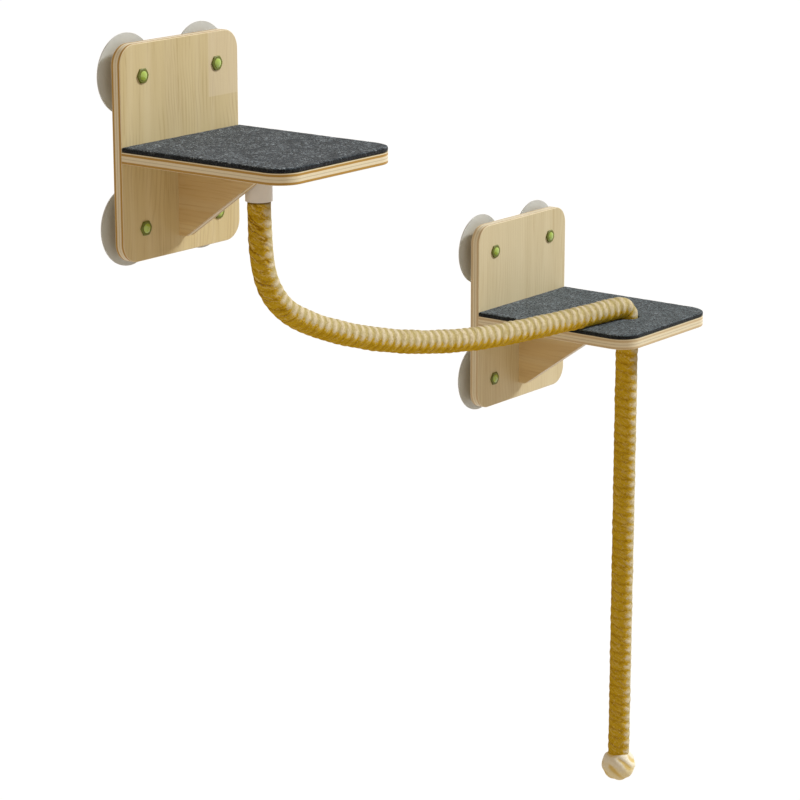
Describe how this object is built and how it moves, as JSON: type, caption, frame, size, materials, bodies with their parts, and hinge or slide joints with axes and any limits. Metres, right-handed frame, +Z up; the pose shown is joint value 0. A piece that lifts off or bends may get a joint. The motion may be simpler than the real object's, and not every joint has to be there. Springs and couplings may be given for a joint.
{
  "type": "cat climbing wall",
  "caption": "Window-mounted plywood cat shelves with felt tops and suction cups, joined by a thick wrapped rope bridge that drops through the lower shelf and hangs free with a ball at its end.",
  "frame": {"origin": "centre of the upper shelf's four suction cups, on the window's surface", "axes": "+X along the window towards the lower shelf, +Y into the window, +Z up"},
  "size_m": [1.1185, 0.326, 1.3511],
  "materials": {
    "plywood": "clear satin lacquer",
    "felt": "heathered felt",
    "cup_rubber": "translucent, smooth",
    "stud_plastic": "gloss",
    "nut_plastic": "gloss",
    "screw_steel": "zinc plated",
    "socket_plastic": "moulded, satin",
    "rope": "twisted cord, matte",
    "ball_cord": "wrapped cord, matte"
  },
  "bodies": {
    "frame": {"upper_back_plate": "plywood", "upper_shelf_board": "plywood", "upper_felt_pad": "felt", "upper_gusset": "plywood", "upper_suction_cup_1": "cup_rubber", "upper_suction_cup_2": "cup_rubber", "upper_suction_cup_3": "cup_rubber", "upper_suction_cup_4": "cup_rubber", "upper_cup_studs": "stud_plastic", "upper_hex_nuts": "nut_plastic", "upper_wood_screws": "screw_steel", "lower_back_plate": "plywood", "lower_shelf_board": "plywood", "lower_felt_pad": "felt", "lower_gusset": "plywood", "lower_suction_cup_1": "cup_rubber", "lower_suction_cup_2": "cup_rubber", "lower_suction_cup_3": "cup_rubber", "lower_suction_cup_4": "cup_rubber", "lower_cup_studs": "stud_plastic", "lower_hex_nuts": "nut_plastic", "lower_wood_screws": "screw_steel", "rope_socket": "socket_plastic", "rope_socket_screw": "screw_steel", "rope_top_core": "rope", "rope_top_wrap": "rope", "rope_shelf_core": "rope", "rope_shelf_wrap": "rope", "rope_fold": "rope"},
    "bridge": {"rope_bridge_core": "rope", "rope_bridge_wrap_1": "rope", "rope_bridge_wrap_2": "rope", "rope_bridge_wrap_3": "rope", "rope_bridge_wrap_4": "rope", "rope_bridge_wrap_5": "rope", "rope_bridge_wrap_6": "rope", "rope_bridge_wrap_7": "rope", "rope_bridge_wrap_8": "rope", "rope_bridge_wrap_9": "rope"},
    "tail_link": {"rope_link_core": "rope", "rope_link_wrap": "rope"},
    "tail_upper": {"rope_tail_upper_core": "rope", "rope_tail_upper_wrap": "rope"},
    "tail_lower": {"rope_tail_lower_core": "rope", "rope_tail_lower_wrap": "rope", "rope_end_ball": "ball_cord"}
  },
  "joints": [
    {"name": "bridge_sway", "type": "hinge", "parent": "frame", "child": "bridge", "pos_m": [0.03, -0.1505, -0.1074], "axis": [0.9279, -0.1051, -0.3577], "range_deg": [-15, 15]},
    {"name": "tail_swing_out", "type": "hinge", "parent": "frame", "child": "tail_link", "pos_m": [0.8465, -0.243, -0.4091], "axis": [1, 0, 0], "range_deg": [-25, 12]},
    {"name": "tail_swing_aside", "type": "hinge", "parent": "tail_link", "child": "tail_upper", "pos_m": [0.8465, -0.243, -0.4856], "axis": [0, 1, 0], "range_deg": [-25, 25]},
    {"name": "tail_bend", "type": "hinge", "parent": "tail_upper", "child": "tail_lower", "pos_m": [0.8465, -0.243, -0.8006], "axis": [0, 1, 0], "range_deg": [-30, 30]}
  ]
}
